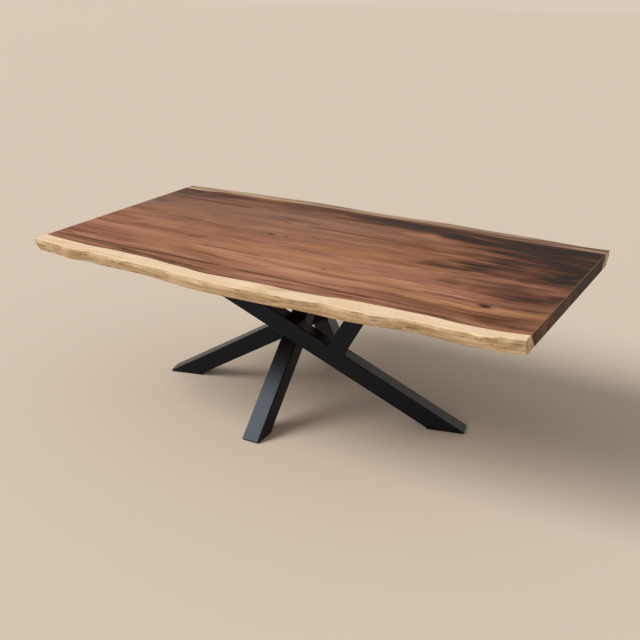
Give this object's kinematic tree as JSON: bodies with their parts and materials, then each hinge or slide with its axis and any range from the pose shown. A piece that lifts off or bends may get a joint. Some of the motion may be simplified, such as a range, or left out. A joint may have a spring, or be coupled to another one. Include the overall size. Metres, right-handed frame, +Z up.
{
  "type": "live edge dining table",
  "caption": "Dining table: a thick live edge wood slab bolted to a welded spider base of crossing square steel tubes on felt pads.",
  "frame": {"origin": "on the floor, under the middle of the table's box", "axes": "+X along the slab, from the end over the side beam's foot to the end over the main beam's foot, +Y across the slab towards the back leg, +Z up"},
  "size_m": [2.2, 1.2099, 0.75],
  "materials": {
    "live_edge_walnut": "clear satin oil",
    "powder_coated_steel": "matt black powder coat",
    "zinc_plated_steel": "zinc plated",
    "brass": "turned",
    "felt": "pressed felt"
  },
  "bodies": {
    "root": {"tabletop_slab": "live_edge_walnut", "main_beam": "powder_coated_steel", "cross_beam": "powder_coated_steel", "side_beam": "powder_coated_steel", "back_leg": "powder_coated_steel", "brace_arm": "powder_coated_steel", "right_foot_plate": "powder_coated_steel", "left_foot_plate": "powder_coated_steel", "front_foot_plate": "powder_coated_steel", "back_foot_plate": "powder_coated_steel", "left_head_plate": "powder_coated_steel", "right_head_plate": "powder_coated_steel", "rear_head_plate": "powder_coated_steel", "brace_head_plate": "powder_coated_steel", "right_floor_pad": "felt", "left_floor_pad": "felt", "front_floor_pad": "felt", "back_floor_pad": "felt", "plate_bolts": "zinc_plated_steel", "threaded_inserts": "brass"}
  },
  "joints": []
}
